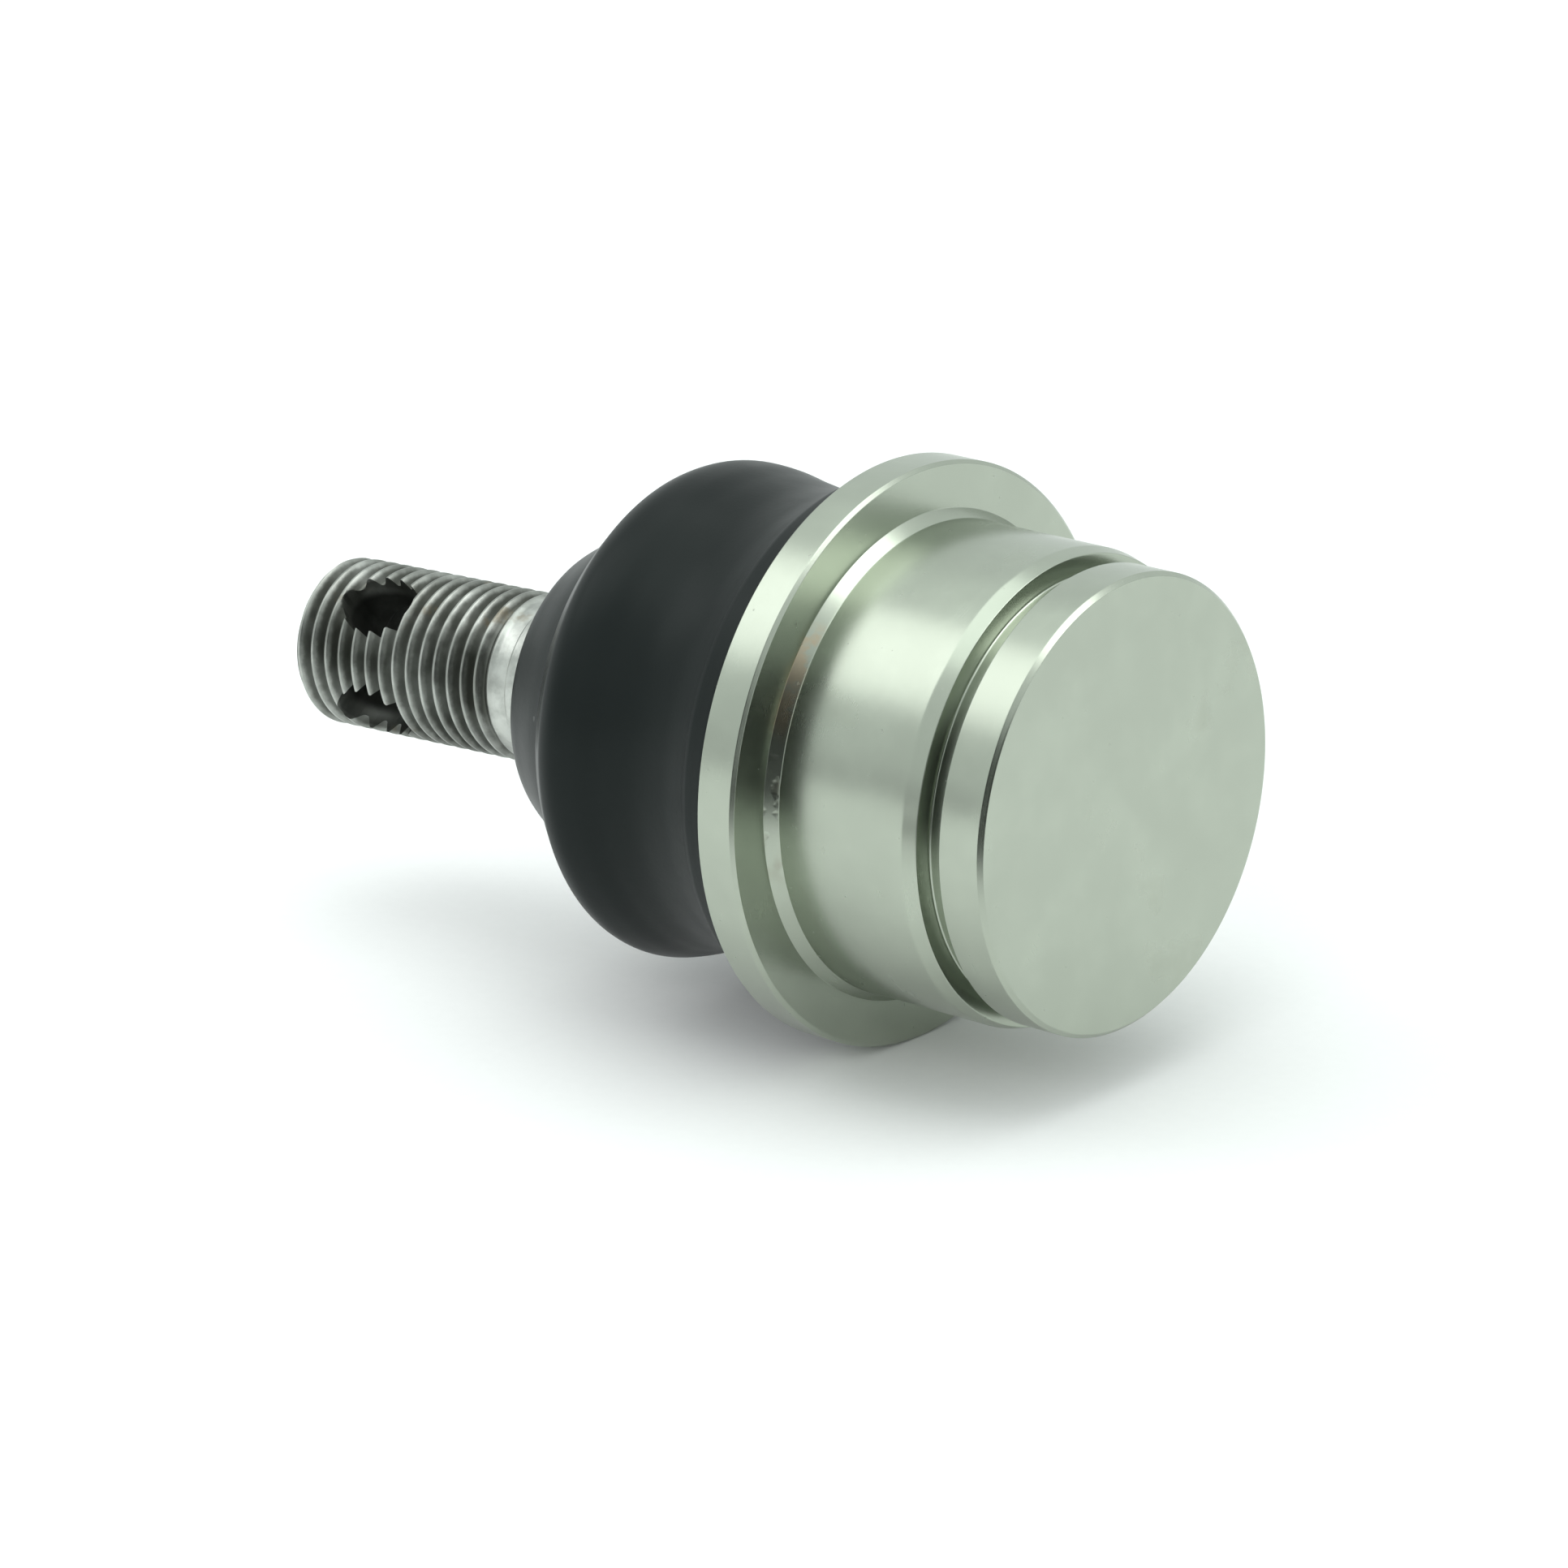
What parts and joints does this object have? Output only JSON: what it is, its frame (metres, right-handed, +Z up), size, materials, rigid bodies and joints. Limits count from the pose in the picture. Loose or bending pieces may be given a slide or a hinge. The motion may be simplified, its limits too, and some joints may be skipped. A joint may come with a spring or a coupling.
{
  "type": "ball joint",
  "caption": "Press-in ball joint: flanged steel housing with a snap-ring groove and closed end, rubber boot, and a threaded ball stud with crossed cotter holes.",
  "frame": {"origin": "centre of the housing's flat closed end", "axes": "+X out of the closed end along the housing's axis, so the stud points along -X; +Z up as the part lies on its flange's rim; +Y completes the right-handed set"},
  "size_m": [0.0812, 0.0468, 0.0468],
  "materials": {
    "housing_steel": "turned and zinc plated, satin",
    "stud_steel": "rolled thread and ground taper, lightly oiled",
    "ring_steel": "pressed and deburred",
    "spring_steel": "hardened, blued",
    "seat_polymer": "moulded acetal, greased",
    "insert_plastic": "moulded, smooth",
    "boot_rubber": "moulded, matt with a soft sheen"
  },
  "bodies": {
    "housing": {"housing": "housing_steel", "preload_spring": "spring_steel", "load_washer": "ring_steel", "closing_ring": "ring_steel", "boot_base_insert": "ring_steel"},
    "bearing_seat": {"lower_seat": "seat_polymer", "upper_seat": "seat_polymer", "boot": "boot_rubber"},
    "boot_collar": {"boot_neck_insert": "insert_plastic"},
    "ball_stud": {"ball_stud": "stud_steel"}
  },
  "joints": [
    {"name": "swing_direction", "type": "hinge", "parent": "housing", "child": "bearing_seat", "pos_m": [-0.0176, 0, 0], "axis": [1, 0, 0], "continuous": true},
    {"name": "stud_tilt", "type": "hinge", "parent": "bearing_seat", "child": "boot_collar", "pos_m": [-0.0176, 0, 0], "axis": [0, 0.9455, -0.3256], "range_deg": [-21.9, 26.1], "deforming": ["boot"]},
    {"name": "stud_spin", "type": "hinge", "parent": "boot_collar", "child": "ball_stud", "pos_m": [-0.0176, 0, 0], "axis": [-0.9993, -0.0119, -0.0346], "continuous": true}
  ]
}
